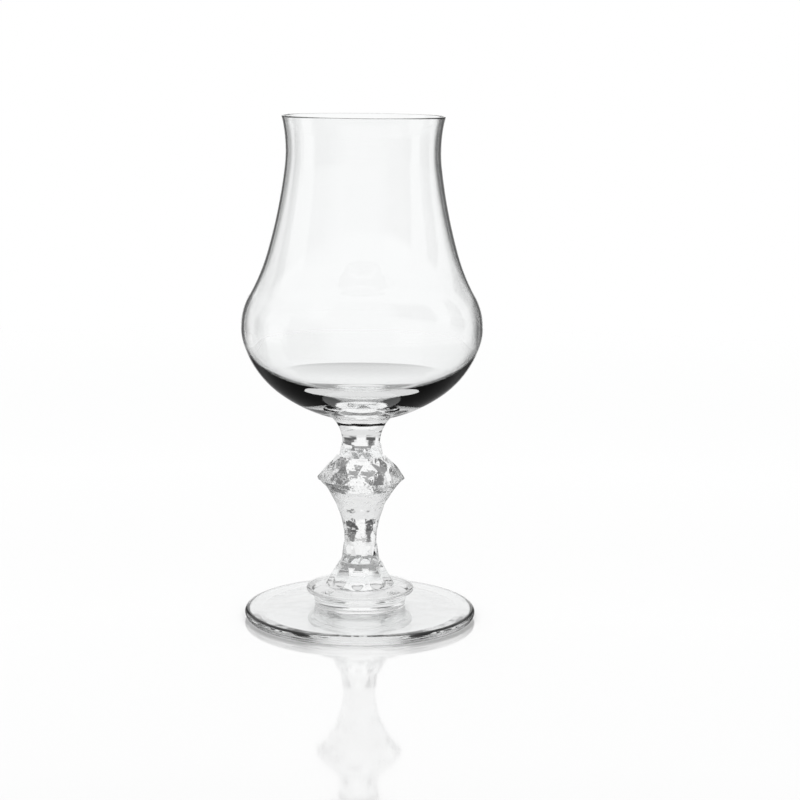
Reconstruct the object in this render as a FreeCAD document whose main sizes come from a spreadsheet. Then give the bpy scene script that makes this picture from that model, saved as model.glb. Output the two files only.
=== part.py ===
"""Stemmed nosing glass: a blown bowl on a cut stem and a round foot.

Frame: millimetres, +Z up, the origin at the middle of the resting ring on the table.
Nine pieces of glass are stacked on one axis, each with its own height, and the flat top
of one is the seat of the next. Each piece is built from its own seat upwards.

An outline's point is a pair of expressions, (radius, height). A lean is the angle by which
a side draws in towards the axis as it rises, so 0 is upright and 90 degrees is level.
"""
import FreeCAD, Part
import math
import os
import re
import Sketcher

# Driving sizes: lengths in millimetres, angles in degrees, counts and shares as plain numbers
SIZES = {
    # Foot, from the table up to the pedestal
    "foot_height": 4.4,
    "foot_radius": 39.3,
    "foot_toe_round": 2.0,
    "foot_edge_round": 1.3,
    "foot_rest_width": 4.0,
    "foot_hollow_depth": 1.2,
    # Pedestal, a thick ring with a rounded rim and a drawn-in side
    "pedestal_height": 7.1,
    "pedestal_waist_radius": 15.4,
    "pedestal_rim_radius": 18.3,
    "pedestal_rim_height": 5.5,
    "pedestal_rim_round": 0.85,
    # Skirt, a cone with petal flutes
    "skirt_height": 8.1,
    "skirt_base_radius": 11.6,
    "skirt_top_radius": 6.9,
    "flute_width": 5.4,
    "flute_wheel_radius": 21.5,
    "flute_place_share": 0.46,
    # Lower collar, a band of triangles between two rings of corners
    "lower_collar_height": 5.9,
    "lower_collar_base_radius": 6.65,
    "lower_collar_top_radius": 5.7,
    # Baluster, a trumpet with rows of shallow marks
    "baluster_height": 22.8,
    "baluster_base_radius": 5.4,
    "baluster_top_radius": 14.5,
    "mark_wheel_radius": 9.0,
    # Knop, a gem crown: star facets, kites and girdle facets
    "knop_height": 7.8,
    "knop_girdle_radius": 14.87,
    "knop_corner_radius": 12.6,
    "knop_top_radius": 8.1,
    # Upper collar
    "upper_collar_height": 4.2,
    "upper_collar_base_radius": 7.57,
    "upper_collar_top_radius": 6.7,
    # Neck, a smooth flare under the bowl
    "neck_height": 9.3,
    "neck_base_radius": 6.45,
    # Bowl: the radius of each station, and its rise from the station below
    "bowl_seat_radius": 10.5,
    "cup_radius": 27.96,
    "cup_rise": 8.28,
    "flank_radius": 39.77,
    "flank_rise": 16.8,
    "belly_radius": 40.54,
    "belly_rise": 5.22,
    "shoulder_radius": 37.8,
    "shoulder_rise": 10.52,
    "throat_radius": 31.88,
    "throat_rise": 14.21,
    "waist_radius": 26.15,
    "waist_rise": 27.97,
    "rim_radius": 27.1,
    "rim_rise": 16.97,
    "bowl_wall": 0.88,
    "floor_thickness": 4.0,
    "floor_lift": 32.0,
    # Cutting: facets round the stem, the stem's turn on its axis, and the cutter's overrun
    "facet_count": 10,
    "stem_turn": -5.0,
    "overrun": 1.0,
}

# Rows of marks on the baluster: place as a share of its height, turn and width as shares of
# one facet step
MARK_ROWS_SHARES = (
    {"place": 0.83, "turn": 0.5, "width": 0.86},
    {"place": 0.62, "turn": 0.0, "width": 0.86},
    {"place": 0.39, "turn": 0.5, "width": 0.84},
    {"place": 0.19, "turn": 0.0, "width": 0.80},
)

UPRIGHT = "0 deg"
LEVEL = "90 deg"

doc = FreeCAD.newDocument("NosingGlass")
sheet = doc.addObject("Spreadsheet::Sheet", "Sizes")
for row, (alias, number) in enumerate(SIZES.items(), start=1):
    sheet.set(f"A{row}", str(number))
    sheet.setAlias(f"A{row}", alias)
doc.recompute()


def bound(expression):
    """Names the sheet before each driving size in an expression."""
    return re.sub(
        r"\b[a-z][a-z_]+\b",
        lambda word: f"Sizes.{word[0]}" if word[0] in SIZES else word[0],
        expression,
    )


def worth(expression):
    """The expression's number now, in millimetres or degrees."""
    number = sheet.evalExpression(bound(expression))
    return float(getattr(number, "Value", number))


def vector(point):
    """A sketch point's coordinates now."""
    return FreeCAD.Vector(worth(point[0]), worth(point[1]), 0)


def chord_lean(start, end):
    """The lean of the straight line through two points."""
    return f"-atan((({end[0]}) - ({start[0]})) / (({end[1]}) - ({start[1]})))"


def far_lean(start, end, lean):
    """The lean at the end of an arc that leaves its start with the given lean."""
    return f"(2 * ({chord_lean(start, end)}) - ({lean}))"


def chain_leans(points, lean):
    """The lean at each point of a chain of arcs, each tangent to the one before."""
    leans = [lean]
    for start, end in zip(points, points[1:]):
        leans.append(far_lean(start, end, leans[-1]))
    return leans


def origin_feature(body, role):
    """The body's own origin plane or axis with this role."""
    return next(feature for feature in body.Origin.OriginFeatures if feature.Role == role)


def new_sketch(body, name, plane, turn="0"):
    """A sketch on one of the body's origin planes, turned about the glass's axis."""
    sketch = body.newObject("Sketcher::SketchObject", name)
    sketch.AttachmentSupport = [(origin_feature(body, plane), "")]
    sketch.MapMode = "FlatFace"
    if turn != "0":
        about_axis = FreeCAD.Rotation(FreeCAD.Vector(0, 1, 0), worth(turn))
        sketch.AttachmentOffset = FreeCAD.Placement(FreeCAD.Vector(), about_axis)
        sketch.setExpression("AttachmentOffset.Rotation.Angle", bound(turn))
    return sketch


def place_point(sketch, geometry, position, point):
    """Fixes one point of a sketch at (radius, height)."""
    for kind, axis, expression in (("DistanceX", -2, point[0]), ("DistanceY", -1, point[1])):
        if expression == "0":
            sketch.addConstraint(Sketcher.Constraint("PointOnObject", geometry, position, axis))
        else:
            fixed = Sketcher.Constraint(kind, -1, 1, geometry, position, worth(expression))
            index = sketch.addConstraint(fixed)
            sketch.setExpression(f"Constraints[{index}]", bound(expression))


def fix_radius(sketch, geometry, radius):
    """Fixes the radius of a circle or an arc."""
    index = sketch.addConstraint(Sketcher.Constraint("Radius", geometry, worth(radius)))
    sketch.setExpression(f"Constraints[{index}]", bound(radius))


def add_side(sketch, start, end, lean):
    """Adds a straight side, or an arc that leaves its start with a lean, and fixes its start.

    Returns the side's index and the positions of its first and last ends.
    """
    first, last = vector(start), vector(end)
    if lean is None:
        side = sketch.addGeometry(Part.LineSegment(first, last), False)
        place_point(sketch, side, 1, start)
        return side, 1, 2
    turn = f"{chord_lean(start, end)} - ({lean})"
    run = last - first
    bulge = FreeCAD.Vector(run.y, -run.x, 0) * (math.tan(math.radians(worth(turn)) / 2) / 2)
    side = sketch.addGeometry(Part.Arc(first, (first + last) / 2 + bulge, last), False)
    ends = (1, 2) if bulge.dot(FreeCAD.Vector(run.y, -run.x, 0)) > 0 else (2, 1)
    place_point(sketch, side, ends[0], start)
    chord = f"sqrt((({end[0]}) - ({start[0]})) ^ 2 + (({end[1]}) - ({start[1]})) ^ 2)"
    fix_radius(sketch, side, f"abs({chord} / (2 * sin({turn})))")
    return side, *ends


def draw_outline(sketch, sides):
    """Draws a closed outline. Each side is (start point, lean of its arc or None)."""
    starts = [start for start, lean in sides]
    ends = starts[1:] + starts[:1]
    drawn = [add_side(sketch, start, end, lean) for (start, lean), end in zip(sides, ends)]
    for (side, _, last), (following, first, _) in zip(drawn, drawn[1:] + drawn[:1]):
        sketch.addConstraint(Sketcher.Constraint("Coincident", side, last, following, first))


def new_body(label, seat):
    """An empty body for one piece, at the height of its seat."""
    body = doc.addObject("PartDesign::Body", label)
    body.Label = label
    if seat:
        body.setExpression("Placement.Base.z", bound(seat))
    return body


def turned(label, seat, sides):
    """A piece turned about the axis from a closed half outline."""
    body = new_body(label, seat)
    sketch = new_sketch(body, f"{label}_outline", "XZ_Plane")
    draw_outline(sketch, sides)
    revolution = body.newObject("PartDesign::Revolution", f"{label}_turned")
    revolution.Profile = sketch
    revolution.ReferenceAxis = (sketch, ["V_Axis"])
    revolution.Angle = 360
    doc.recompute()
    return body


def blank(label, seat, radius, height):
    """A plain round blank, a little too wide, for a piece that is cut to facets."""
    body = new_body(label, seat)
    sketch = new_sketch(body, f"{label}_round", "XY_Plane")
    wide = f"{radius} + overrun"
    circle = Part.Circle(FreeCAD.Vector(), FreeCAD.Vector(0, 0, 1), worth(wide))
    sketch.addGeometry(circle, False)
    sketch.addConstraint(Sketcher.Constraint("Coincident", 0, 3, -1, 1))
    fix_radius(sketch, 0, wide)
    pad = body.newObject("PartDesign::Pad", f"{label}_blank")
    pad.Profile = sketch
    pad.setExpression("Length", bound(height))
    doc.recompute()
    return body


def cut_round(body, sketch, name, count):
    """Cuts a sketch through the piece, square to it both ways, and repeats that round the axis."""
    before = body.Shape.Volume
    cut = body.newObject("PartDesign::Pocket", name)
    cut.Profile = sketch
    cut.Type = "ThroughAll"
    cut.Midplane = True
    doc.recompute()
    pattern = body.newObject("PartDesign::PolarPattern", f"{name}_round")
    pattern.Originals = [cut]
    pattern.Axis = (origin_feature(body, "Z_Axis"), [""])
    pattern.Angle = 360
    pattern.Occurrences = round(worth(count))
    pattern.setExpression("Occurrences", bound(count))
    body.Tip = pattern
    doc.recompute()
    if body.Shape.Volume >= before:
        raise RuntimeError(f"{name} cut nothing")


def turn_of(turn_share):
    """The turn of a cut about the axis, in shares of one facet step."""
    return f"stem_turn + {turn_share} * 360 / facet_count"


def facet_row(body, name, height, turn_share, low, high, count="facet_count"):
    """Grinds a flat facet and repeats it round the axis.

    The facet's plane passes through low and high, two (radius, height) points of the
    meridian that faces it, and stands square to that meridian.
    """
    slant = f"(({low[0]}) - ({high[0]})) / (({high[1]}) - ({low[1]}))"
    foot = f"({low[0]}) + {slant} * (({low[1]}) + overrun)"
    top = f"({low[0]}) - {slant} * ({height} + overrun - ({low[1]}))"
    outside = f"{foot} + ({low[0]})"
    below = "-overrun"
    above = f"{height} + overrun"
    sketch = new_sketch(body, f"{name}_wedge", "XZ_Plane", turn_of(turn_share))
    corners = ((foot, below), (outside, below), (outside, above), (top, above))
    draw_outline(sketch, [(corner, None) for corner in corners])
    cut_round(body, sketch, name, count)


def wheel_row(body, name, turn_share, centre, lean, width, wheel):
    """Grinds a boat-shaped mark with the rim of a wheel and repeats it round the axis.

    The mark lies about centre, a point of a surface with the given lean, and is as deep as
    its width asks there. The wheel's own radius makes its length.
    """
    reach = f"({wheel} - ({width}) ^ 2 * cos({lean}) / (8 * ({centre[0]})))"
    hub = (
        f"({centre[0]}) + {reach} * cos({lean})",
        f"({centre[1]}) + {reach} * sin({lean})",
    )
    sketch = new_sketch(body, f"{name}_wheel", "XZ_Plane", turn_of(turn_share))
    circle = Part.Circle(vector(hub), FreeCAD.Vector(0, 0, 1), worth(wheel))
    rim = sketch.addGeometry(circle, False)
    place_point(sketch, rim, 3, hub)
    fix_radius(sketch, rim, wheel)
    cut_round(body, sketch, name, "facet_count")


# Foot: hollow underside, resting ring, rounded edge and a slightly coned top
def build_foot(label, seat):
    toe = ("foot_radius - foot_toe_round", "0")
    widest = ("foot_radius", "foot_toe_round")
    brim = ("foot_radius - foot_edge_round", "foot_toe_round + foot_edge_round")
    return turned(label, seat, (
        ((f"{toe[0]} - foot_rest_width", "0"), None),
        (toe, f"-{LEVEL}"),
        (widest, UPRIGHT),
        (brim, None),
        (("pedestal_waist_radius", "foot_height"), None),
        (("0", "foot_height"), None),
        (("0", "foot_hollow_depth"), LEVEL),
    ))


# Pedestal: drawn-in side, half-round rim and a softly domed top
def build_pedestal(label, seat):
    inset = "pedestal_rim_radius - pedestal_rim_round"
    rim_low = (inset, "pedestal_rim_height - pedestal_rim_round")
    rim_out = ("pedestal_rim_radius", "pedestal_rim_height")
    rim_high = (inset, "pedestal_rim_height + pedestal_rim_round")
    top = ("skirt_base_radius", "pedestal_height")
    return turned(label, seat, (
        (("0", "0"), None),
        (("pedestal_waist_radius", "0"), UPRIGHT),
        (rim_low, f"-{LEVEL}"),
        (rim_out, UPRIGHT),
        (rim_high, far_lean(top, rim_high, LEVEL)),
        (top, None),
        (("0", "pedestal_height"), None),
    ))


# Skirt: a cone with one petal flute to each facet step
def build_skirt(label, seat):
    base = ("skirt_base_radius", "0")
    top = ("skirt_top_radius", "skirt_height")
    body = turned(label, seat, ((("0", "0"), None), (base, None), (top, None), (("0", top[1]), None)))
    middle = (
        "skirt_base_radius - (skirt_base_radius - skirt_top_radius) * flute_place_share",
        "skirt_height * flute_place_share",
    )
    wheel_row(body, "flute", 0.5, middle, chord_lean(base, top), "flute_width", "flute_wheel_radius")
    return body


# Collars: two rings of corners, half a step apart, joined by triangles
def build_collar(label, seat):
    base = f"{label}_base_radius"
    top = f"{label}_top_radius"
    height = f"{label}_height"
    apothem = "cos(180 / facet_count)"
    body = blank(label, seat, base, height)
    facet_row(body, f"{label}_up", height, 0, (f"{base} * {apothem}", "0"), (top, height))
    facet_row(body, f"{label}_down", height, 0.5, (base, "0"), (f"{top} * {apothem}", height))
    return body


# Baluster: a trumpet with rows of boat-shaped marks, each row half a step from the last
def build_baluster(label, seat):
    flare = "(baluster_top_radius - baluster_base_radius)"
    sweep = f"(({flare} ^ 2 + baluster_height ^ 2) / (2 * {flare}))"
    body = turned(label, seat, (
        (("0", "0"), None),
        (("baluster_base_radius", "0"), UPRIGHT),
        (("baluster_top_radius", "baluster_height"), None),
        (("0", "baluster_height"), None),
    ))
    for number, shares in enumerate(MARK_ROWS_SHARES, start=1):
        place = f"baluster_height * {shares['place']}"
        centre = (f"baluster_base_radius + {sweep} - sqrt({sweep} ^ 2 - ({place}) ^ 2)", place)
        width = f"{shares['width']} * 2 * ({centre[0]}) * sin(180 / facet_count)"
        lean = f"-asin({place} / {sweep})"
        wheel_row(body, f"mark_{number}", shares["turn"], centre, lean, width, "mark_wheel_radius")
    return body


# Knop: a gem crown of stars, kites and paired girdle facets
def build_knop(label, seat):
    height = "knop_height"
    whole = "cos(180 / facet_count)"
    half = "cos(90 / facet_count)"
    fall = f"(knop_girdle_radius - knop_corner_radius * {whole}) / (knop_girdle_radius - knop_top_radius)"
    corner = f"{height} * {fall}"
    body = blank(label, seat, "knop_girdle_radius", height)
    facet_row(body, "kite", height, 0, ("knop_girdle_radius", "0"), ("knop_top_radius", height))
    star_top = (f"knop_top_radius * {whole}", height)
    facet_row(body, "star", height, 0.5, ("knop_corner_radius", corner), star_top)
    girdle_low = (f"knop_girdle_radius * {half}", "0")
    girdle_high = (f"knop_corner_radius * {half}", corner)
    facet_row(body, "girdle", height, 0.25, girdle_low, girdle_high, "2 * facet_count")
    return body


# Neck: the smooth flare that carries the bowl
def build_neck(label, seat):
    return turned(label, seat, (
        (("0", "0"), None),
        (("neck_base_radius", "0"), UPRIGHT),
        (("bowl_seat_radius", "neck_height"), None),
        (("0", "neck_height"), None),
    ))


# Bowl: one chain of arcs below the belly and one above it, repeated a wall's width further in
def build_bowl(label, seat):
    stations = [("bowl_seat_radius", "0")]
    rise = "0"
    for name in ("cup", "flank", "belly", "shoulder", "throat", "waist", "rim"):
        rise = f"{rise} + {name}_rise"
        stations.append((f"{name}_radius", rise))
    below, above = stations[:4], stations[3:]
    leans_below = chain_leans(below[::-1], UPRIGHT)[::-1]
    leans_above = chain_leans(above, UPRIGHT)
    inside = [(f"{radius} - bowl_wall", height) for radius, height in above]

    # The lip's rounding, level at its top and tangent to both faces of the wall
    rim, rim_lean = above[-1], leans_above[-1]
    lip_top = (
        f"{rim[0]} - bowl_wall * sin(45 deg + {rim_lean} / 2) ^ 2",
        f"{rim[1]} + bowl_wall / 2 * cos({rim_lean})",
    )

    # The floor rises from level to its lift and turns from there to the upright belly
    across = inside[0][0]
    upward = f"({inside[0][1]} - floor_thickness)"
    spread = "(sin(floor_lift) + cos(floor_lift) - 1)"
    floor_radius = f"(({across}) * cos(floor_lift) - {upward} * (1 - sin(floor_lift))) / {spread}"
    floor_turn = (
        f"{floor_radius} * sin(floor_lift)",
        f"floor_thickness + {floor_radius} * (1 - cos(floor_lift))",
    )
    return turned(label, seat, (
        (("0", "0"), None),
        *zip(below[:-1], leans_below[:-1]),
        *zip(above, leans_above),
        (lip_top, f"-{LEVEL}"),
        *list(zip(inside, leans_above))[:0:-1],
        (inside[0], UPRIGHT),
        (floor_turn, f"floor_lift * 1 deg - {LEVEL}"),
        (("0", "floor_thickness"), None),
    ))


# The stack, from the table up: each piece sits on all the heights below it
BUILDERS = {
    "foot": build_foot,
    "pedestal": build_pedestal,
    "skirt": build_skirt,
    "lower_collar": build_collar,
    "baluster": build_baluster,
    "knop": build_knop,
    "upper_collar": build_collar,
    "neck": build_neck,
    "bowl": build_bowl,
}
pieces = []
for label, build in BUILDERS.items():
    pieces.append(build(label, " + ".join(f"{piece.Label}_height" for piece in pieces)))
doc.recompute()

# Every object and every piece is checked before anything is written
for item in doc.Objects:
    if "Invalid" in item.State or "Error" in item.State:
        raise RuntimeError(f"{item.Label} did not build: {item.State}")
for piece in pieces:
    if piece.Shape.isNull() or not piece.Shape.isValid() or len(piece.Shape.Solids) != 1:
        raise RuntimeError(f"{piece.Label} is not one sound solid")

os.makedirs("parts", exist_ok=True)
for piece in pieces:
    piece.Shape.exportStep(f"parts/{piece.Label}.step")
    print(f"{piece.Label}: {piece.Shape.Volume:.0f} mm3 on a seat {piece.Placement.Base.z:.1f} mm up")
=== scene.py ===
"""Stemmed nosing glass on a white table: closed glass meshes, their finishes and a plain studio.

Frame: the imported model's, in metres, +Z up, the origin under the middle of the foot. Piece sizes
are in millimetres, as on the drawing, and become metres where a mesh is made. An outline's point
is (radius, height above the piece's seat). A lean is the angle by which a side draws in towards
the axis as it rises. Ten equal sectors make every piece, so one sector is drawn and repeated.
"""
import logging
import math
from collections.abc import Callable, Iterable, Mapping, Sequence
from dataclasses import dataclass, field
from enum import Enum
from typing import ClassVar

import bmesh
import bpy
from mathutils import Matrix, Vector

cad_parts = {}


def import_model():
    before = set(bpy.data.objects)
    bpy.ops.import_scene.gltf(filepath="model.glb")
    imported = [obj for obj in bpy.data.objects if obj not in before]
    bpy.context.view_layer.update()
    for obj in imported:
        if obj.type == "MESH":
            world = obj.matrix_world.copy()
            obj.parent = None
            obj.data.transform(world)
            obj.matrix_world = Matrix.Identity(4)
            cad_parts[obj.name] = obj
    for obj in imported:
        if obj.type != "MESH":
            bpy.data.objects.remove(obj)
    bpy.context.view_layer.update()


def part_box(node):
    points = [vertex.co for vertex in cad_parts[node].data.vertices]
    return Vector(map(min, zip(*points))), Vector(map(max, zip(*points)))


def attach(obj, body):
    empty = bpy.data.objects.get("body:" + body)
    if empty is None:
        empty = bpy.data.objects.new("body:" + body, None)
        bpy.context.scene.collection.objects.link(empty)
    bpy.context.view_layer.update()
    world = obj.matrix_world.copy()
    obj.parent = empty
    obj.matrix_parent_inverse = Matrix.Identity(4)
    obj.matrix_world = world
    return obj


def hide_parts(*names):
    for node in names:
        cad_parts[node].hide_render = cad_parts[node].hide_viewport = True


MM = 0.001
SECTORS = 10
STEP = 2 * math.pi / SECTORS
# How far the cut pieces of the stem are turned about the axis, as in the photograph
STEM_TURN = math.radians(-5)
# The most that an arc turns from one point to the next, and the angle from which an edge is sharp
FINE_TURN = math.radians(6)
SHARP_TURN = math.radians(24)
# Two leans of a side: straight up, and level towards the axis
UPRIGHT = 0.0
LEVEL = math.pi / 2
# Points nearer than this are one point, and a length is never less than this in a quotient
WELD = 0.002 * MM
TINY = 1e-9

Point = tuple[float, float]
Stretch = tuple[float, float, float]
Edge = Callable[[float], float]
log = logging.getLogger("nosing_glass")


class Shade(Enum):
    """How a piece's surface is shaded."""

    SMOOTH = "smooth"
    FACETED = "faceted"


class Value:
    """A value in a node tree that takes Python's operators and adds Math nodes for them."""

    def __init__(self, nodes: "Nodes", socket: bpy.types.NodeSocket) -> None:
        """Keeps the tree and the output that this value stands for."""
        self.nodes = nodes
        self.socket = socket

    def maths(self, operation: str, *terms: "Value | float") -> "Value":
        """Adds a Math node.

        Args:
            operation: the Math node's operation.
            terms: its inputs, in order.

        Returns:
            The node's result.
        """
        node = self.nodes.node("ShaderNodeMath", {"operation": operation}, dict(enumerate(terms)))
        return Value(self.nodes, node.outputs[0])

    def __add__(self, other: "Value | float") -> "Value":
        """The sum."""
        return self.maths("ADD", self, other)

    def __sub__(self, other: "Value | float") -> "Value":
        """The difference."""
        return self.maths("SUBTRACT", self, other)

    def __rsub__(self, other: "Value | float") -> "Value":
        """The difference, from the other."""
        return self.maths("SUBTRACT", other, self)

    def __mul__(self, other: "Value | float") -> "Value":
        """The product."""
        return self.maths("MULTIPLY", self, other)

    def __truediv__(self, other: "Value | float") -> "Value":
        """The quotient."""
        return self.maths("DIVIDE", self, other)

    def __rtruediv__(self, other: "Value | float") -> "Value":
        """The quotient, of the other."""
        return self.maths("DIVIDE", other, self)

    def __pow__(self, other: "Value | float") -> "Value":
        """The power."""
        return self.maths("POWER", self, other)

    def __abs__(self) -> "Value":
        """The size without the sign."""
        return self.maths("ABSOLUTE", self)

    __radd__ = __add__
    __rmul__ = __mul__

    def least(self, other: "Value | float") -> "Value":
        """The smaller of the two."""
        return self.maths("MINIMUM", self, other)

    def most(self, other: "Value | float") -> "Value":
        """The larger of the two."""
        return self.maths("MAXIMUM", self, other)

    def between(self, low: float, high: float) -> "Value":
        """A soft step.

        Args:
            low: where the step starts, at 0.
            high: where it ends, at 1. It may be below low.

        Returns:
            The step's value.
        """
        settings = {"interpolation_type": "SMOOTHSTEP"}
        places = {"Value": self, "From Min": min(low, high), "From Max": max(low, high)}
        places |= {"To Min": float(low > high), "To Max": float(low <= high)}
        step = self.nodes.node("ShaderNodeMapRange", settings, places)
        return Value(self.nodes, step.outputs["Result"])


class Nodes:
    """Builds one node tree."""

    def __init__(self, owner: bpy.types.Material | bpy.types.World | bpy.types.NodeTree) -> None:
        """Starts from an empty tree: the one given, or that of a material or world."""
        if not isinstance(owner, bpy.types.NodeTree):
            owner.use_nodes = True
            owner = owner.node_tree
        self.tree = owner
        self.tree.nodes.clear()

    def node(
        self,
        kind: str,
        settings: Mapping[str, object] | None = None,
        inputs: Mapping[str | int, object] | None = None,
    ) -> bpy.types.Node:
        """Adds a node.

        Args:
            kind: the node's type name.
            settings: its own settings, which are set first.
            inputs: numbers, colours, values, sockets or nodes for its inputs, by name or place.

        Returns:
            The new node.
        """
        node = self.tree.nodes.new(kind)
        for name, setting in (settings or {}).items():
            setattr(node, name, setting)
        for name, content in (inputs or {}).items():
            source = content.outputs[0] if isinstance(content, bpy.types.Node) else content
            source = source.socket if isinstance(source, Value) else source
            if isinstance(source, bpy.types.NodeSocket):
                self.tree.links.new(source, node.inputs[name])
            else:
                node.inputs[name].default_value = source
        return node

    def value(self, node: bpy.types.Node, output: str | int = 0) -> Value:
        """An output of a node as a value."""
        return Value(self, node.outputs[output])

    def object_place(self, scale: Stretch = (1, 1, 1)) -> bpy.types.Node:
        """The point on the object, in metres, stretched by a scale."""
        place = self.node("ShaderNodeTexCoord").outputs["Object"]
        return self.node("ShaderNodeMapping", None, {"Vector": place, "Scale": scale})

    def noise(self, width: float, detail: float, stretch: Stretch = (1, 1, 1)) -> Value:
        """Noise on the object's own coordinates.

        Args:
            width: how wide its spots are, in metres.
            detail: its number of finer layers.
            stretch: how the coordinates are stretched first.

        Returns:
            A value about one half.
        """
        inputs = {"Vector": self.object_place(stretch), "Scale": 1 / width, "Detail": detail}
        return self.value(self.node("ShaderNodeTexNoise", None, inputs), "Fac")

    def finish(self, surface: bpy.types.Node, kind: str = "ShaderNodeOutputMaterial") -> None:
        """Links a shader to the output."""
        self.node(kind, None, {"Surface": surface})


@dataclass(frozen=True)
class GlassFinish:
    """Clear glass with the small faults of its making, with lengths in millimetres.

    Attributes:
        name: the finish's name.
        ior, tint: how the glass bends light and colours it.
        ripple_width, ripple_depth, ripple_stretch: the slow waves of the surface.
        grain_width, grain_depth, grain_stretch: the small unevenness that drawing or grinding left.
        relief_layers: the number of finer layers of both.
        smear_width, smear_layers: the size of the duller spots and their finer layers.
        smear_start, smear_full: the levels of the noise at which a spot starts and is dullest.
        smear_roughness: how rough a spot is where it is dullest.
    """

    name: str
    ior: float = 1.5
    tint: tuple[float, float, float] = (0.985, 0.99, 0.99)
    ripple_width: float = 14.0
    ripple_depth: float = 0.01
    ripple_stretch: Stretch = (1, 1, 0.35)
    grain_width: float = 1.2
    grain_depth: float = 0.0
    grain_stretch: Stretch = (1, 1, 1)
    relief_layers: float = 1.0
    smear_width: float = 18.0
    smear_layers: float = 4.0
    smear_start: float = 0.48
    smear_full: float = 0.78
    smear_roughness: float = 0.035

    def material(self) -> bpy.types.Material:
        """The finish as a material."""
        material = bpy.data.materials.new(self.name)
        shading = Nodes(material)
        ripple = shading.noise(self.ripple_width * MM, self.relief_layers, self.ripple_stretch)
        height = ripple * self.ripple_depth
        if self.grain_depth:
            grain = shading.noise(self.grain_width * MM, self.relief_layers, self.grain_stretch)
            height += grain * self.grain_depth
        bump = shading.node("ShaderNodeBump", None, {"Strength": 1.0, "Distance": MM, "Height": height})
        dullness = shading.noise(self.smear_width * MM, self.smear_layers)
        smear = dullness.between(self.smear_start, self.smear_full)
        glass = shading.node(
            "ShaderNodeBsdfPrincipled",
            None,
            {
                "Base Color": (*self.tint, 1),
                "Roughness": smear * self.smear_roughness,
                "IOR": self.ior,
                "Transmission Weight": 1.0,
                "Normal": bump,
            },
        )
        shading.finish(glass)
        return material


@dataclass(frozen=True)
class SeamFinish:
    """A joint where two pieces of glass are melted together, which light passes straight through."""

    name: str = "fused_seam"

    def material(self) -> bpy.types.Material:
        """The finish as a material."""
        material = bpy.data.materials.new(self.name)
        shading = Nodes(material)
        shading.finish(shading.node("ShaderNodeBsdfTransparent", None, {"Color": (1, 1, 1, 1)}))
        return material


def chord_lean(start: Point, end: Point) -> float:
    """The lean of the straight line through two points.

    Args:
        start: one point.
        end: the other point.

    Returns:
        The lean in radians, between level and level.
    """
    return -math.atan((end[0] - start[0]) / (end[1] - start[1]))


def far_lean(start: Point, end: Point, lean: float) -> float:
    """The lean at the end of an arc that leaves its start with the given lean."""
    return 2 * chord_lean(start, end) - lean


def chain_leans(points: Sequence[Point], lean: float) -> list[float]:
    """The lean at each point of a chain of arcs, each tangent to the one before.

    Args:
        points: the chain's points.
        lean: the lean at the first.

    Returns:
        One lean for each point.
    """
    leans = [lean]
    for start, end in zip(points, points[1:]):
        leans.append(far_lean(start, end, leans[-1]))
    return leans


def arc(start: Point, end: Point, lean: float, pitch: float) -> list[Point]:
    """Points along an arc, without its end.

    Args:
        start: where the arc starts.
        end: where it ends.
        lean: its lean at the start.
        pitch: the longest step along it.

    Returns:
        The points, from the start on.
    """
    turn = chord_lean(start, end) - lean
    middle = (Vector(start) + Vector(end)) / 2
    run = Vector(end) - Vector(start)
    across = Vector((run.y, -run.x))
    centre = middle - across / (2 * math.tan(turn))
    count = math.ceil(max(run.length * turn / math.sin(turn) / pitch, abs(2 * turn) / FINE_TURN))
    spoke = Vector(start) - centre
    points = []
    for index in range(count):
        spin = Matrix.Rotation(2 * turn * index / count, 2)
        points.append(tuple(centre + spin @ spoke))
    return points


def outline(corners: Sequence[tuple[Point, float | None]], pitch: float) -> list[Point]:
    """An open outline as points.

    Args:
        corners: each corner with the lean of the arc that leaves it, or None for a straight side.
        pitch: the longest step along the sides.

    Returns:
        The points, with the last corner.
    """
    points: list[Point] = []
    for (start, lean), (end, _) in zip(corners, corners[1:]):
        if lean is not None:
            points += arc(start, end, lean, pitch)
            continue
        count = max(1, math.ceil((Vector(end) - Vector(start)).length / pitch))
        points += [tuple(Vector(start).lerp(Vector(end), index / count)) for index in range(count)]
    return [*points, corners[-1][0]]


def round_edge(radius: float) -> Edge:
    """A round piece's edge: its radius at any angle."""
    return lambda angle: radius


def cut_edge(corner_radius: float, turn_share: float, count: int = SECTORS) -> Edge:
    """The edge of a piece with straight sides.

    Args:
        corner_radius: the radius of its corners.
        turn_share: where a corner lies, in shares of one step between corners.
        count: how many sides it has.

    Returns:
        Its radius at any angle.
    """
    step = 2 * math.pi / count

    def radius(angle: float) -> float:
        """The radius at this angle."""
        from_side = (angle / step - turn_share) % 1 * step - step / 2
        return corner_radius * math.cos(step / 2) / math.cos(from_side)

    return radius


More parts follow.
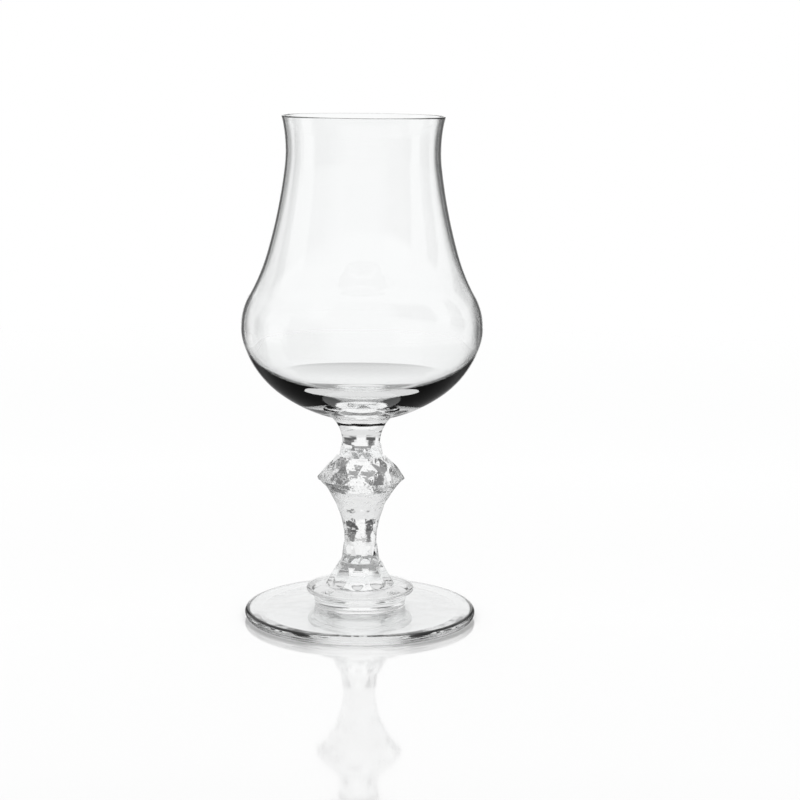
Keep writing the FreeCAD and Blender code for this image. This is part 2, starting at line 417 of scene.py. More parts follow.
@dataclass
class Sector:
    """One tenth of a piece: points, faces, and which faces are fused seams."""

    columns: int
    points: list[tuple[float, float, float]] = field(default_factory=list)
    faces: list[tuple[int, ...]] = field(default_factory=list)
    seams: list[bool] = field(default_factory=list)

    def angles(self) -> list[float]:
        """The angles of the sector's columns, about its own middle."""
        return [(column / self.columns - 0.5) * STEP for column in range(self.columns + 1)]

    def place(self, angle: float, radius: float, height: float) -> int:
        """Adds a point and returns its index."""
        self.points.append((radius * math.cos(angle), radius * math.sin(angle), height))
        return len(self.points) - 1

    def around(self, radius: float, height: float, shares: Iterable[float]) -> list[int]:
        """Adds points of one radius and height, at shares of one step from the sector's middle."""
        return [self.place(STEP * share, radius, height) for share in shares]

    def rim(self, radius: float, height: float) -> list[int]:
        """Adds the round rim of a seam, over one step from the sector's middle."""
        return self.around(radius, height, (column / self.columns for column in range(self.columns + 1)))

    def row(self, edge: Edge, height: float) -> list[int]:
        """Adds a row of points along an edge at one height, or one point on the axis."""
        if edge(0) == 0:
            return [self.place(0, 0, height)] * (self.columns + 1)
        return [self.place(angle, edge(angle), height) for angle in self.angles()]

    def face(self, corners: Iterable[int], seam: bool = False) -> None:
        """Adds a face, without repeated corners."""
        kept = list(dict.fromkeys(corners))
        if len(kept) > 2:
            self.faces.append(tuple(kept))
            self.seams.append(seam)

    def strip(self, low: Sequence[int], high: Sequence[int], seam: bool = False) -> None:
        """Joins two rows, the first of which is met first on the way up the outside."""
        for column in range(self.columns):
            self.face((low[column], low[column + 1], high[column + 1], high[column]), seam)

    def cap(self, edge_row: Sequence[int], upward: bool, seam_edge: Edge | None = None) -> None:
        """Closes an end with a fused seam.

        Args:
            edge_row: the points of the end's own edge.
            upward: whether the end looks up.
            seam_edge: the edge of an upper seam that is smaller and leaves a ring of glass.
        """
        height = self.points[edge_row[0]][2]
        rim = self.row(seam_edge, height) if seam_edge else edge_row
        middle = self.row(round_edge(0), height)
        self.strip(*((rim, middle) if upward else (middle, rim)), True)
        if seam_edge:
            self.strip(edge_row, rim)


def close_mesh(mesh: bpy.types.Mesh) -> None:
    """Merges doubled points, turns all faces outwards and marks the sharp edges.

    Args:
        mesh: the mesh, which must be closed once its points are merged.

    Raises:
        ValueError: an edge doesn't join exactly two faces.
    """
    work = bmesh.new()
    work.from_mesh(mesh)
    bmesh.ops.remove_doubles(work, verts=work.verts, dist=WELD)
    bmesh.ops.recalc_face_normals(work, faces=work.faces)
    open_edges = [edge for edge in work.edges if len(edge.link_faces) != 2]
    if open_edges or work.calc_volume(signed=True) <= 0:
        raise ValueError(f"{mesh.name}: {len(open_edges)} open edges")
    for edge in work.edges:
        one, other = edge.link_faces
        edge.smooth = one.material_index == other.material_index and edge.calc_face_angle() < SHARP_TURN
    work.to_mesh(mesh)
    work.free()


class RepeatRound:
    """The node tree that repeats a sector round the axis and gives the faces their finishes."""

    def __init__(self) -> None:
        """Builds the tree, with its sizes as named inputs."""
        self.tree = bpy.data.node_groups.new("repeat_round", "GeometryNodeTree")
        face = self.tree.interface
        face.new_socket("Geometry", in_out="OUTPUT", socket_type="NodeSocketGeometry")
        self.names = {}
        for name, kind in (
            ("Sector", "NodeSocketGeometry"),
            ("Count", "NodeSocketInt"),
            ("Turn", "NodeSocketFloat"),
            ("Weld", "NodeSocketFloat"),
            ("Glass", "NodeSocketMaterial"),
            ("Seam", "NodeSocketMaterial"),
        ):
            self.names[name] = face.new_socket(name, in_out="INPUT", socket_type=kind).identifier
        nodes = Nodes(self.tree)
        given = nodes.node("NodeGroupInput").outputs
        points = nodes.node("GeometryNodePoints", None, {"Count": given["Count"]})
        full_turn = 2 * math.pi / Value(nodes, given["Count"])
        angle = nodes.value(nodes.node("GeometryNodeInputIndex")) * full_turn + given["Turn"]
        turn = nodes.node("ShaderNodeCombineXYZ", None, {"Z": angle})
        copies = {"Points": points, "Instance": given["Sector"], "Rotation": turn}
        instances = nodes.node("GeometryNodeInstanceOnPoints", None, copies)
        real = nodes.node("GeometryNodeRealizeInstances", None, {"Geometry": instances})
        merging = {"Geometry": real, "Distance": given["Weld"]}
        welded = nodes.node("GeometryNodeMergeByDistance", None, merging)
        glass = {"Geometry": welded, "Material": given["Glass"]}
        dressed = nodes.node("GeometryNodeSetMaterial", None, glass)
        marked = nodes.node("GeometryNodeInputNamedAttribute", {"data_type": "BOOLEAN"}, {"Name": "seam"})
        seams = {"Geometry": dressed, "Selection": marked, "Material": given["Seam"]}
        seamed = nodes.node("GeometryNodeSetMaterial", None, seams)
        nodes.node("NodeGroupOutput", None, {"Geometry": seamed})

    def make(
        self,
        name: str,
        sector: Sector,
        seat: float,
        turn: float,
        shade: Shade,
        glass: bpy.types.Material,
        seam: bpy.types.Material,
    ) -> bpy.types.Object:
        """Makes a whole piece from its sector, as a plain mesh at the origin.

        Args:
            name: the piece's name.
            sector: its tenth, in millimetres from its seat.
            seat: the seat's height in metres.
            turn: the turn of the first sector about the axis.
            shade: how its faces are shaded.
            glass: the material of its faces.
            seam: the material of its fused seams.

        Returns:
            The new object.
        """
        source = bpy.data.meshes.new(f"{name}_sector")
        source.from_pydata(sector.points, [], sector.faces)
        source.transform(Matrix.Translation((0, 0, seat)) @ Matrix.Scale(MM, 4))
        source.materials.append(glass)
        source.materials.append(seam)
        source.attributes.new("seam", "BOOLEAN", "FACE").data.foreach_set("value", sector.seams)
        source.polygons.foreach_set("use_smooth", [shade is Shade.SMOOTH] * len(sector.faces))
        piece = bpy.data.objects.new(name, source)
        bpy.context.scene.collection.objects.link(piece)
        modifier = piece.modifiers.new("repeat", "NODES")
        modifier.node_group = self.tree
        given = {"Count": SECTORS, "Turn": turn, "Weld": WELD, "Glass": glass, "Seam": seam}
        for label, content in given.items():
            modifier[self.names[label]] = content
        shown = piece.evaluated_get(bpy.context.evaluated_depsgraph_get())
        whole = bpy.data.meshes.new_from_object(shown)
        piece.modifiers.clear()
        piece.data = whole
        bpy.data.meshes.remove(source)
        whole.name = name
        close_mesh(whole)
        return piece


class Piece:
    """A glass piece, which its own class draws as one tenth.

    Attributes:
        node: the node that it stands for.
        slot: the record's material slot that its finish belongs to.
        finish: the finish's name.
        shade: how its faces are shaded.
        turn: the turn of the first sector about the axis.
    """

    node: ClassVar[str]
    slot: ClassVar[str] = "cut_glass"
    finish: ClassVar[str]
    shade: ClassVar[Shade] = Shade.SMOOTH
    turn: ClassVar[float] = 0.0

    def sector(self) -> Sector:
        """One tenth of the piece, in millimetres from its seat."""
        raise NotImplementedError

    def build(self, repeat: RepeatRound, finishes: Mapping[str, bpy.types.Material]) -> None:
        """Args:
            repeat: the tree that repeats its sector.
            finishes: every finish's material, by name.
        """
        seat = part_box(self.node)[0].z
        glass, seam = finishes[self.finish], finishes["fused_seam"]
        piece = repeat.make(f"{self.node}_glass", self.sector(), seat, self.turn, self.shade, glass, seam)
        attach(piece, "root")
        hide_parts(self.node)
        log.info("%s: %d faces", piece.name, len(piece.data.polygons))


@dataclass
class WheelCut:
    """A row of marks that a wheel's rim has ground, one to each sector.

    Attributes:
        radius, height: the surface's point in the middle of a mark.
        lean: the surface's lean there.
        width: the mark's width.
        wheel: the wheel's radius.
        turn_share: where the row starts, in shares of one sector.
    """

    radius: float
    height: float
    lean: float
    width: float
    wheel: float
    turn_share: float

    def reach(self, angle: float, height: float) -> float:
        """How far out the glass still goes after the cut.

        Args:
            angle: the angle about the sector's middle.
            height: the height above the seat.

        Returns:
            The radius that the wheel leaves there, or infinity where it doesn't pass.
        """
        depth = self.width**2 * math.cos(self.lean) / (8 * self.radius)
        hub_radius = self.radius + (self.wheel - depth) * math.cos(self.lean)
        hub_height = self.height + (self.wheel - depth) * math.sin(self.lean)
        rise = height - hub_height
        if abs(rise) >= self.wheel:
            return math.inf
        from_mark = (angle / STEP - self.turn_share + 0.5) % 1 * STEP - STEP / 2
        return (hub_radius - math.sqrt(self.wheel**2 - rise**2)) / math.cos(from_mark)


def add_side(sector: Sector, side: Sequence[Point], cuts: Sequence[WheelCut] = ()) -> list[list[int]]:
    """Adds a side to a sector, row by row.

    Args:
        sector: the sector to add to.
        side: the side before it is cut, from the bottom up.
        cuts: the rows of marks that wheels have cut into it.

    Returns:
        The rows of points.
    """
    rows = []
    for radius, height in side:

        def edge(angle: float, radius: float = radius, height: float = height) -> float:
            """What is left of the side at this angle."""
            return min([radius, *(cut.reach(angle, height) for cut in cuts)])

        rows.append(sector.row(edge, height))
    for low, high in zip(rows, rows[1:]):
        sector.strip(low, high)
    return rows


@dataclass
class Foot(Piece):
    """The round plate that the glass stands on, with a rounded edge and a hollow underside."""

    node = "foot"
    slot = "foot_glass"
    finish = "pressed_foot"
    height: float = 4.4
    radius: float = 39.3
    toe_round: float = 2.0
    edge_round: float = 1.3
    rest_width: float = 4.0
    hollow_depth: float = 1.2
    seat_radius: float = 15.4
    pitch: float = 0.5
    columns: int = 26

    def sector(self) -> Sector:
        """One tenth of the foot."""
        toe = self.radius - self.toe_round
        inner_rest = toe - self.rest_width
        sector = Sector(self.columns)
        side = outline(
            (
                ((0, self.hollow_depth), LEVEL),
                ((inner_rest, 0), None),
                ((toe, 0), -LEVEL),
                ((self.radius, self.toe_round), UPRIGHT),
                ((self.radius - self.edge_round, self.toe_round + self.edge_round), None),
                ((self.seat_radius, self.height), None),
            ),
            self.pitch,
        )
        rows = add_side(sector, side)
        sector.cap(rows[-1], upward=True)
        return sector


@dataclass
class Pedestal(Piece):
    """The thick ring on the foot, with a drawn-in side, a half-round rim and a domed top."""

    node = "pedestal"
    slot = "foot_glass"
    finish = "pressed_foot"
    height: float = 7.1
    waist_radius: float = 15.4
    rim_radius: float = 18.3
    rim_height: float = 5.5
    rim_round: float = 0.85
    top_radius: float = 11.6
    pitch: float = 0.3
    columns: int = 26

    def sector(self) -> Sector:
        """One tenth of the pedestal."""
        inset = self.rim_radius - self.rim_round
        rim_high = (inset, self.rim_height + self.rim_round)
        top = (self.top_radius, self.height)
        sector = Sector(self.columns)
        side = outline(
            (
                ((self.waist_radius, 0), UPRIGHT),
                ((inset, self.rim_height - self.rim_round), -LEVEL),
                ((self.rim_radius, self.rim_height), UPRIGHT),
                (rim_high, far_lean(top, rim_high, LEVEL)),
                (top, None),
            ),
            self.pitch,
        )
        rows = add_side(sector, side)
        sector.cap(rows[0], upward=False)
        sector.cap(rows[-1], upward=True)
        return sector


@dataclass
class Skirt(Piece):
    """The short cone with ten petal flutes."""

    node = "skirt"
    finish = "ground_flutes"
    turn = STEM_TURN
    height: float = 8.1
    base_radius: float = 11.6
    top_radius: float = 6.9
    flute_width: float = 5.4
    flute_wheel: float = 21.5
    flute_place_share: float = 0.46
    collar_corner_radius: float = 6.65
    pitch: float = 0.25
    columns: int = 36

    def sector(self) -> Sector:
        """One tenth of the skirt."""
        base, top = (self.base_radius, 0.0), (self.top_radius, self.height)
        flute = WheelCut(
            self.base_radius - (self.base_radius - self.top_radius) * self.flute_place_share,
            self.height * self.flute_place_share,
            chord_lean(base, top),
            self.flute_width,
            self.flute_wheel,
            0.5,
        )
        sector = Sector(self.columns)
        rows = add_side(sector, outline(((base, None), (top, None)), self.pitch), [flute])
        sector.cap(rows[0], upward=False)
        sector.cap(rows[-1], upward=True, seam_edge=cut_edge(self.collar_corner_radius, 0.5))
        return sector


@dataclass
class Collar(Piece):
    """A band of flat triangles between two rings of corners, half a step apart."""

    finish = "polished_facets"
    shade = Shade.FACETED
    turn = STEM_TURN
    node: str
    height: float
    base_radius: float
    top_radius: float
    seam_radius: float
    columns: int = 12

    def sector(self) -> Sector:
        """One tenth of the collar."""
        sector = Sector(self.columns)
        left, right = sector.around(self.base_radius, 0, (-0.5, 0.5))
        top, next_top = sector.around(self.top_radius, self.height, (0, 1))
        sector.face((left, right, top))
        sector.face((right, next_top, top))
        sector.face((sector.place(0, 0, 0), right, left), seam=True)
        rim = sector.rim(self.seam_radius, self.height)
        middle = sector.place(0, 0, self.height)
        for near, far in zip(rim, rim[1:]):
            sector.face((middle, near, far), seam=True)
        sector.face((top, next_top, *reversed(rim)))
        return sector


@dataclass
class Baluster(Piece):
    """The trumpet-shaped shank with four rows of wheel-cut marks."""

    node = "baluster"
    finish = "ground_marks"
    turn = STEM_TURN
    height: float = 22.8
    base_radius: float = 5.4
    top_radius: float = 14.5
    wheel: float = 9.0
    rows_shares: tuple[tuple[float, float, float], ...] = (
        (0.83, 0.5, 0.86),
        (0.62, 0.0, 0.86),
        (0.39, 0.5, 0.84),
        (0.19, 0.0, 0.80),
    )
    pitch: float = 0.22
    columns: int = 36

    def cuts(self) -> list[WheelCut]:
        """The rows of marks, from their shares: place, turn and width."""
        flare = self.top_radius - self.base_radius
        sweep = (flare**2 + self.height**2) / (2 * flare)
        cuts = []
        for place, turn, width in self.rows_shares:
            height = self.height * place
            radius = self.base_radius + sweep - math.sqrt(sweep**2 - height**2)
            span = width * 2 * radius * math.sin(math.pi / SECTORS)
            cuts.append(WheelCut(radius, height, -math.asin(height / sweep), span, self.wheel, turn))
        return cuts

    def sector(self) -> Sector:
        """One tenth of the baluster."""
        sector = Sector(self.columns)
        corners = (((self.base_radius, 0), UPRIGHT), ((self.top_radius, self.height), None))
        rows = add_side(sector, outline(corners, self.pitch), self.cuts())
        sector.cap(rows[0], upward=False)
        sector.cap(rows[-1], upward=True)
        return sector


@dataclass
class Knop(Piece):
    """The gem crown: stars, kites and paired girdle facets."""

    node = "knop"
    finish = "polished_facets"
    shade = Shade.FACETED
    turn = STEM_TURN
    height: float = 7.8
    girdle_radius: float = 14.87
    corner_radius: float = 12.6
    top_radius: float = 8.1
    base_seam_radius: float = 14.5
    top_seam_radius: float = 7.57
    columns: int = 12

    def sector(self) -> Sector:
        """One tenth of the knop."""
        whole = math.cos(STEP / 2)
        fall = (self.girdle_radius - self.corner_radius * whole) / (self.girdle_radius - self.top_radius)
        sector = Sector(self.columns)
        front, right, far = sector.around(self.girdle_radius, 0, (0, 0.5, 1))
        before, after = sector.around(self.corner_radius, self.height * fall, (-0.5, 0.5))
        top, next_top = sector.around(self.top_radius, self.height, (0, 1))
        sector.face((front, after, top, before))
        sector.face((after, next_top, top))
        sector.face((front, right, after))
        sector.face((right, far, after))

        # Underside: the seam with the baluster and a narrow ring out to the girdle
        rim = sector.rim(self.base_seam_radius, 0)
        middle = sector.place(0, 0, 0)
        for near, beyond in zip(rim, rim[1:]):
            sector.face((middle, beyond, near), seam=True)
        half = self.columns // 2
        sector.face((right, front, *rim[: half + 1]))
        sector.face((far, right, *rim[half:]))

        # Top: the seam with the upper collar, whose corners lie half a step on
        crown = sector.place(0, 0, self.height)
        seam = sector.around(self.top_seam_radius, self.height, (-0.5, 0.5, 1.5))
        sector.face((crown, seam[0], seam[1]), seam=True)
        sector.face((top, seam[1], seam[0]))
        sector.face((top, next_top, seam[1]))
        return sector


@dataclass
class Neck(Piece):
    """The smooth flare that carries the bowl."""

    node = "neck"
    slot = "blown_glass"
    finish = "drawn_neck"
    height: float = 9.3
    base_radius: float = 6.36
    seat_radius: float = 10.5
    pitch: float = 0.3
    columns: int = 26

    def sector(self) -> Sector:
        """One tenth of the neck."""
        sector = Sector(self.columns)
        corners = (((self.base_radius, 0), UPRIGHT), ((self.seat_radius, self.height), None))
        rows = add_side(sector, outline(corners, self.pitch))
        sector.cap(rows[0], upward=False)
        sector.cap(rows[-1], upward=True)
        return sector


@dataclass
class Bowl(Piece):
    """The blown bowl: belly, long shoulder, waist and flared lip over a thick floor."""

    node = "bowl"
    slot = "blown_glass"
    finish = "blown_bowl"
    seat_radius: float = 10.5
    radii: tuple[float, ...] = (27.96, 39.77, 40.54, 37.8, 31.88, 26.15, 27.1)
    rises: tuple[float, ...] = (8.28, 16.8, 5.22, 10.52, 14.21, 27.97, 16.97)
    belly: int = 3
    wall: float = 0.88
    floor_thickness: float = 4.0
    floor_lift: float = math.radians(32)
    pitch: float = 1.0
    columns: int = 26

    def outline(self) -> list[Point]:
        """The bowl's outline, from its seat up the outside and down the inside to the axis."""
        stations = [(self.seat_radius, 0.0)]
        for radius, rise in zip(self.radii, self.rises):
            stations.append((radius, stations[-1][1] + rise))
        below, above = stations[: self.belly + 1], stations[self.belly :]
        leans_below = chain_leans(below[::-1], UPRIGHT)[::-1]
        leans_above = chain_leans(above, UPRIGHT)
        inside = [(radius - self.wall, height) for radius, height in above]
        rim, lean = above[-1], leans_above[-1]
        lip_top = (
            rim[0] - self.wall * math.sin(math.pi / 4 + lean / 2) ** 2,
            rim[1] + self.wall / 2 * math.cos(lean),
        )
        across, upward = inside[0][0], inside[0][1] - self.floor_thickness
        sine, cosine = math.sin(self.floor_lift), math.cos(self.floor_lift)
        floor_radius = (across * cosine - upward * (1 - sine)) / (sine + cosine - 1)
        floor_turn = (floor_radius * sine, self.floor_thickness + floor_radius * (1 - cosine))
        return outline(
            (
                *zip(below[:-1], leans_below[:-1]),
                *zip(above, leans_above),
                (lip_top, -LEVEL),
                *list(zip(inside, leans_above))[:0:-1],
                (inside[0], UPRIGHT),
                (floor_turn, self.floor_lift - LEVEL),
                ((0, self.floor_thickness), None),
            ),
            self.pitch,
        )

    def sector(self) -> Sector:
        """One tenth of the bowl."""
        sector = Sector(self.columns)
        rows = add_side(sector, self.outline())
        sector.cap(rows[0], upward=False)
        return sector


@dataclass
class Studio:
    """The white table, the soft light and the camera.

    Light reaches glass along four white lanes, level with the table and beyond it, with dark on
    both sides of each. The dark draws the glass's edges. The lanes run out behind the glass, to
    its left, between the two and opposite that one. Behind the glass the table also has painted
    shade: a ring, a grey patch across the lane and a spot under the stem, which the facets, the
    collars and the floor of the bowl show. From high above the light is even. To the camera,
    and to light that falls on matt surfaces, all of it is white.

    Lengths are in metres and angles in degrees.

    Attributes:
        table_radius, table_thickness, table_gap, table_sides: the table's size, its gap under the
            foot, and how many sides its round edge has.
        table_ior, table_polish: how strongly the table mirrors, and how rough its lacquer is.
        table_roughness, roughness_spread, roughness_width: how rough the table is at least, how
            much more in places, and how wide those are.
        table_paleness, grain_spread, grain_width: how pale the table is at least, how much paler
            in places, and how wide those are.
        table_layers: the finer layers of both.
        near_radius, near_edge: how far the table round the foot is white as seen through glass,
            and half of the soft edge there.
        ring_start, ring_end, ring_edge: where the ring of painted shade starts and ends, and half
        of its soft edges.
        ring_side, ring_side_edge: how far it goes to each side, and half of the soft ends.
        shade_ring_dark: how dark it is.
        spot_radius, spot_edge, shade_spot_dark: the size of the spot of painted shade under the stem, half
        of its soft edge, and how dark it is.
        patch_near, patch_far, patch_edge: where the grey patch of painted shade starts and ends, and
        its soft end.
        patch_taper: how fast it narrows beside the lane's middle.
        shade_patch_dark: how dark it is at its far end.
        lane_width: half of a lane's width near the middle of the table.
        lane_spread: the angle by which its sides spread on the table.
        mirror_radius, mirror_edge: how far the table is dark as seen in mirroring glass, and half
            of the soft edge there.
        lane_angle, mirror_angle: half of a lane's width as light that passes through glass and
            light that surfaces mirror see it.
        lane_edge: the width of a lane's soft edge.
        gap_light, mirror_light: how light the gaps are to those two.
        lone_light, lone_edge: how light the gaps beside the fourth lane are, and how soon.
        gap_top, sky_start: the heights at which the gaps start to end and have ended, to light that
            passes through glass.
        mirror_top, mirror_sky: the same two heights, to light that surfaces mirror.
        sky_light: how light the band above the gaps is.
        zenith_start, zenith_full: the heights between which it turns white.
        light_bounces, mirror_bounces: how often light may turn, and be mirrored, on its way.
        camera_distance, camera_height: where the camera stands.
        camera_pitch, camera_yaw, camera_roll: how it looks down, aside and turns.
        focal_pixels: its focal length in pixels of the image, which is image_pixels wide.
        sensor_width: the width of its film, in millimetres.
        camera_near: the distance from which it sees things.
    """

    table_radius: float = 0.75
    table_thickness: float = 0.02
    table_gap: float = 0.00005
    table_sides: int = 180
    table_ior: float = 1.6
    table_polish: float = 0.06
    table_roughness: float = 0.05
    roughness_spread: float = 0.04
    roughness_width: float = 0.0025
    table_paleness: float = 0.985
    grain_spread: float = 0.01
    grain_width: float = 1 / 900
    table_layers: float = 3.0
    near_radius: float = 0.16
    near_edge: float = 0.03
    # The ring of painted shade on the table, seen only by light that has met the glass
    ring_start: float = 0.09
    ring_end: float = 0.145
    ring_edge: float = 0.005
    ring_side: float = 30.0
    ring_side_edge: float = 3.0
    shade_ring_dark: float = 0.85
    # The spot of painted shade under the stem
    spot_radius: float = 0.016
    spot_edge: float = 0.002
    shade_spot_dark: float = 0.7
    # The grey patch of painted shade across the lane behind the glass
    patch_near: float = 0.17
    patch_far: float = 0.36
    patch_edge: float = 0.02
    patch_taper: float = 0.0024
    shade_patch_dark: float = 0.75
    lane_width: float = 0.022
    lane_spread: float = 7.0
    mirror_radius: float = 0.4
    mirror_edge: float = 0.05
    lane_angle: float = 9.5
    mirror_angle: float = 15.0
    lane_edge: float = 4.0
    gap_light: float = 0.08
    mirror_light: float = 0.2
    lone_light: float = 0.75
    lone_edge: float = 0.4
    gap_top: float = 2.0
    sky_start: float = 9.0
    mirror_top: float = 17.0
    mirror_sky: float = 28.0
    sky_light: float = 0.8
    zenith_start: float = 50.0
    zenith_full: float = 65.0
    light_bounces: int = 24
    mirror_bounces: int = 8
    camera_distance: float = 0.690
    camera_height: float = 0.19289
    camera_pitch: float = 9.6926
    camera_yaw: float = -1.077
    camera_roll: float = 0.62
    focal_pixels: float = 2075.25
    image_pixels: int = 800
    sensor_width: float = 36.0
    camera_near: float = 0.01

    @staticmethod
    def within(distance: Value, limit: float, edge: float) -> Value:
        """1 nearer than a limit and 0 beyond it, with a soft edge on both sides."""
        return distance.between(limit + edge, limit - edge)

    @staticmethod
    def above(up: Value, low: float, high: float) -> Value:
        """0 below one height over the horizon and 1 above the other, both in degrees."""
        return up.between(math.sin(math.radians(low)), math.sin(math.radians(high)))

    @staticmethod
    def apart(east: Value, north: Value) -> Value:
        """How far a place or direction lies from the middle of the nearest lane.

        Args:
            east: its X.
            north: its Y.

        Returns:
            The angle in degrees.
        """
        azimuth = north.maths("ARCTAN2", 0 - east, north) * math.degrees(1)
        eighth = azimuth.most(0).least(90) / 45
        nearest = eighth.maths("ROUND", eighth) * 45
        return abs(azimuth - nearest).least(abs(azimuth + 135)).least(abs(azimuth - 225))

    def lane(self, apart: Value, half_width: Value | float) -> Value:
        """Whether a place or direction lies in one of the four lanes.

        Args:
            apart: how far it lies from the middle of the nearest lane, in degrees.
            half_width: half of a lane's width in degrees.

        Returns:
            1 in a lane, 0 in a gap.
        """
        return (half_width - apart).between(-self.lane_edge / 2, self.lane_edge / 2)

    def gap(self, east: Value, north: Value, darkest: Value | float) -> Value:
        """How light a gap is: the lone lane's side is lighter than the side with three.

        Args:
            east: the X of the place or direction.
            north: its Y.
            darkest: how light the gaps between the three lanes are.

        Returns:
            The light.
        """
        away = (east * east + north * north).most(TINY) ** 0.5
        lone = ((north - east) / math.sqrt(2) / away).between(0.0, -self.lone_edge)
        return lone * (self.lone_light - darkest) + darkest

    def table_light(self, shading: Nodes, through: Value) -> Value:
        """How light the table is to light that has met the glass.

        Args:
            shading: the table's node tree.
            through: 1 for light that has passed through glass, 0 for light that it mirrors.

        Returns:
            The light, from 0 to 1.
        """
        parts = shading.node("ShaderNodeSeparateXYZ", None, {0: shading.object_place()})
        east, north = shading.value(parts, "X"), shading.value(parts, "Y")
        away = (east * east + north * north) ** 0.5
        aside = north.maths("ARCTAN2", east, north) * math.degrees(1)
        aside_squared = aside * aside

        half_width = math.degrees(self.lane_width) / away.most(self.near_radius) + self.lane_spread
        lanes = self.lane(self.apart(east, north), half_width)
        gap = self.gap(east, north, self.gap_light)
        near = self.within(away, self.near_radius, self.near_edge) * through
        far = away.between(self.mirror_radius - self.mirror_edge, self.mirror_radius + self.mirror_edge)

        # The grey patch of painted shade across the lane, narrowing beside its middle
        patch_end = (away + aside_squared * self.patch_taper).between(
            self.patch_far, self.patch_far - self.patch_edge
        )
        patch = patch_end * away.between(self.patch_near, self.patch_far) * self.shade_patch_dark
        # The ring of painted shade behind the glass, which darkens the facets and collars
        ring_out = away.between(self.ring_start - self.ring_edge, self.ring_start + self.ring_edge)
        ring = ring_out * self.within(away, self.ring_end, self.ring_edge) * self.shade_ring_dark
        ring_sides = [(self.ring_side + self.ring_side_edge * sign) ** 2 for sign in (1, -1)]
        # The spot of painted shade under the stem; light that has met the glass sees it with the ring and
        # patch
        spot = self.within(away, self.spot_radius, self.spot_edge) * self.shade_spot_dark
        shade = (ring * aside_squared.between(*ring_sides)).most(spot)
        return near.most((lanes * (1 - gap) + gap) * far.most(through) * (1 - patch)) * (1 - shade)

    def table(self) -> None:
        """The round white table."""
        material = bpy.data.materials.new("white_table")
        shading = Nodes(material)
        rays = shading.node("ShaderNodeLightPath")
        through, mirrored = (shading.value(rays, f"Is {kind} Ray") for kind in ("Transmission", "Glossy"))
        straight = 1 - shading.value(rays, "Diffuse Depth").least(1)
        paleness = 1 - straight * through.most(mirrored) * (1 - self.table_light(shading, through))
        grain = shading.noise(self.grain_width, self.table_layers) * self.grain_spread
        shown = paleness * (grain + self.table_paleness)
        rough = shading.noise(self.roughness_width, self.table_layers) * self.roughness_spread
        white = shading.node(
            "ShaderNodeBsdfPrincipled",
            None,
            {
                "Base Color": shading.node("ShaderNodeCombineColor", None, dict(enumerate([shown] * 3))),
                "Roughness": rough + self.table_roughness,
                "IOR": self.table_ior,
                "Coat Weight": 1.0,
                "Coat Roughness": self.table_polish,
            },
        )
        shading.finish(white)
        bpy.ops.mesh.primitive_cylinder_add(
            vertices=self.table_sides,
            radius=self.table_radius,
            depth=self.table_thickness,
            location=(0, 0, -self.table_thickness / 2 - self.table_gap),
        )
        table = bpy.context.object
        table.name = "white_table"
        table.data.materials.append(material)

    def world_light(self, shading: Nodes, mirrored: Value) -> Value:
        """How light the world is to light that has met the glass or the table.

        Args:
            shading: the world's node tree.
            mirrored: 1 for light that a surface mirrors, 0 for light that has passed through glass.

        Returns:
            The light, from 0 to 1.
        """
        direction = shading.node("ShaderNodeTexCoord").outputs["Generated"]
        parts = shading.node("ShaderNodeSeparateXYZ", None, {0: direction})
        east, north, up = (shading.value(parts, axis) for axis in "XYZ")
        half_width = mirrored * (self.mirror_angle - self.lane_angle) + self.lane_angle
        lanes = self.lane(self.apart(east, north), half_width)
        gap = self.gap(east, north, mirrored * (self.mirror_light - self.gap_light) + self.gap_light)
        level = lanes * (1 - gap) + gap
        glass_over = self.above(up, self.gap_top, self.sky_start) * (1 - mirrored)
        over = glass_over + self.above(up, self.mirror_top, self.mirror_sky) * mirrored
        light = level * (1 - over) + over * self.sky_light
        zenith = self.above(up, self.zenith_start, self.zenith_full)
        return light * (1 - zenith) + zenith

    def light(self) -> None:
        """The world: white to the camera and to matt surfaces, with dark gaps for glass."""
        world = bpy.data.worlds.new("studio")
        world.cycles.sampling_method = "NONE"
        bpy.context.scene.world = world
        shading = Nodes(world)
        rays = shading.node("ShaderNodeLightPath")
        mirrored = shading.value(rays, "Is Glossy Ray") * (1 - shading.value(rays, "Is Transmission Ray"))
        plain = shading.value(rays, "Is Camera Ray").most(shading.value(rays, "Diffuse Depth").least(1))
        strength = self.world_light(shading, mirrored) * (1 - plain) + plain
        background = shading.node("ShaderNodeBackground", None, {"Color": (1, 1, 1, 1), "Strength": strength})
        shading.finish(background, "ShaderNodeOutputWorld")

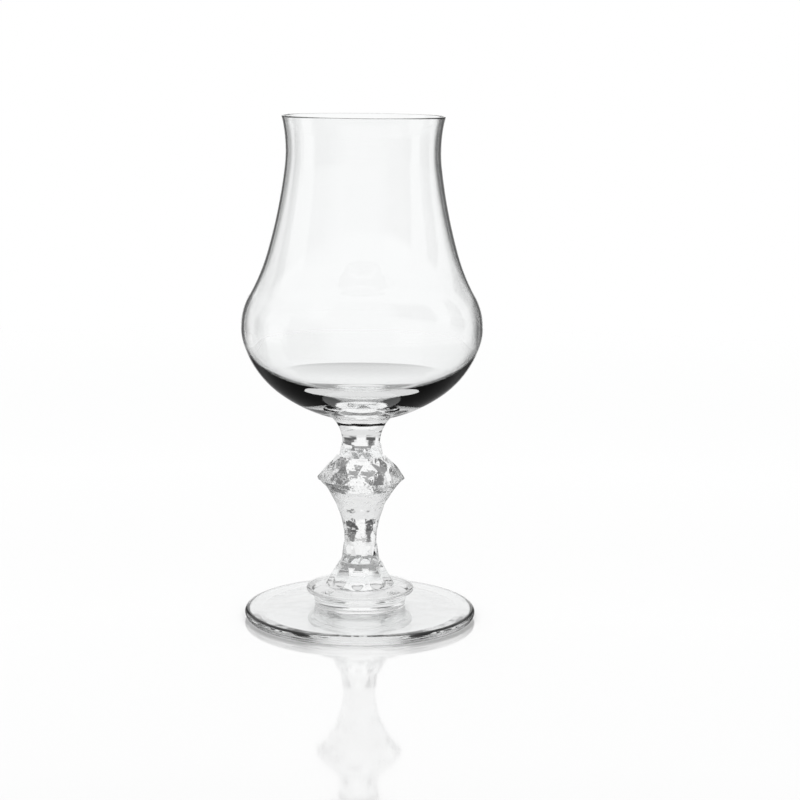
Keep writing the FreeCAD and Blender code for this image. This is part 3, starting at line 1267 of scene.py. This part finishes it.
    def camera(self) -> None:
        """The camera, at the photograph's angle."""
        lens = bpy.data.cameras.new("camera")
        lens.sensor_width = self.sensor_width
        lens.lens = self.focal_pixels * self.sensor_width / self.image_pixels
        lens.clip_start = self.camera_near
        camera = bpy.data.objects.new("camera", lens)
        bpy.context.scene.collection.objects.link(camera)
        pitch, yaw, roll = (math.radians(a) for a in (self.camera_pitch, self.camera_yaw, self.camera_roll))
        aim = Matrix.Rotation(yaw, 4, "Z") @ Matrix.Rotation(math.pi / 2 - pitch, 4, "X")
        place = Matrix.Translation((0, -self.camera_distance, self.camera_height))
        camera.matrix_world = place @ aim @ Matrix.Rotation(roll, 4, "Z")
        bpy.context.scene.camera = camera

    def build(self) -> None:
        """Builds the studio and sets how far light is followed through the glass."""
        self.table()
        self.light()
        self.camera()
        bpy.context.scene.view_settings.view_transform = "Standard"
        paths = bpy.context.scene.cycles
        paths.max_bounces = self.light_bounces
        paths.transmission_bounces = self.light_bounces
        paths.glossy_bounces = self.mirror_bounces
        paths.transparent_max_bounces = self.light_bounces
        paths.blur_glossy = 0.0


def main() -> None:
    """Builds the glass piece by piece in its studio."""
    logging.basicConfig(level=logging.INFO, format="%(name)s: %(message)s")
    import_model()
    kinds = (
        GlassFinish("blown_bowl"),
        GlassFinish("drawn_neck", grain_width=1.4, grain_depth=0.1, grain_stretch=(0.3, 0.3, 1)),
        GlassFinish("polished_facets", ripple_depth=0.006, smear_roughness=0.012),
        GlassFinish("ground_marks", grain_width=1.3, grain_depth=0.17, smear_roughness=0.1),
        GlassFinish("ground_flutes", grain_width=2.2, grain_depth=0.05, smear_roughness=0.05),
        GlassFinish("pressed_foot", ripple_width=9.0, ripple_depth=0.06, ripple_stretch=(1, 1, 1)),
        SeamFinish(),
    )
    finishes = {kind.name: kind.material() for kind in kinds}
    repeat = RepeatRound()
    lower = Collar("lower_collar", 5.9, 6.65, 5.7, 5.4)
    upper = Collar("upper_collar", 4.2, 7.57, 6.7, 6.36)
    for piece in (Foot(), Pedestal(), Skirt(), lower, Baluster(), Knop(), upper, Neck(), Bowl()):
        piece.build(repeat, finishes)
    Studio().build()


if __name__ == "__main__":
    main()
